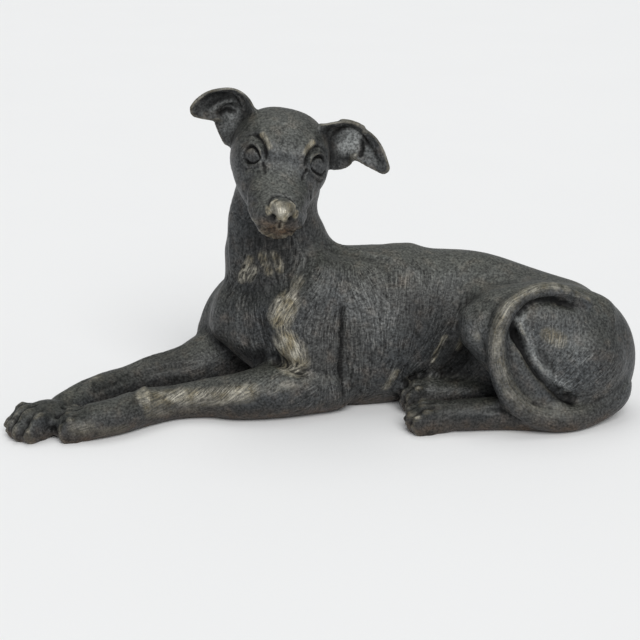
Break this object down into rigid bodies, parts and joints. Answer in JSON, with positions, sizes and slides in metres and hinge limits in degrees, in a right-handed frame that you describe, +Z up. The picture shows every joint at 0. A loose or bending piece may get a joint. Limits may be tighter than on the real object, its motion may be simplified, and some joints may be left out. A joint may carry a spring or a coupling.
{
  "type": "lying greyhound statue",
  "caption": "Cast statue of a lying greyhound, forelegs stretched out, head turned to its side, tail curled over the thigh; stands on its own flat underside",
  "frame": {"origin": "on the ground, under the middle of the footprint's box", "axes": "+X from the head to the rump, along the longest extent; -Y to the side that the head looks to; +Z up"},
  "size_m": [0.8188, 0.2784, 0.4229],
  "materials": {
    "patinated_bronze": "cast bronze with a dark charcoal-brown patina, satin, rubbed to a dull brass on the raised fur, nose, toes and tail"
  },
  "bodies": {
    "root": {"greyhound": "patinated_bronze"}
  },
  "joints": []
}
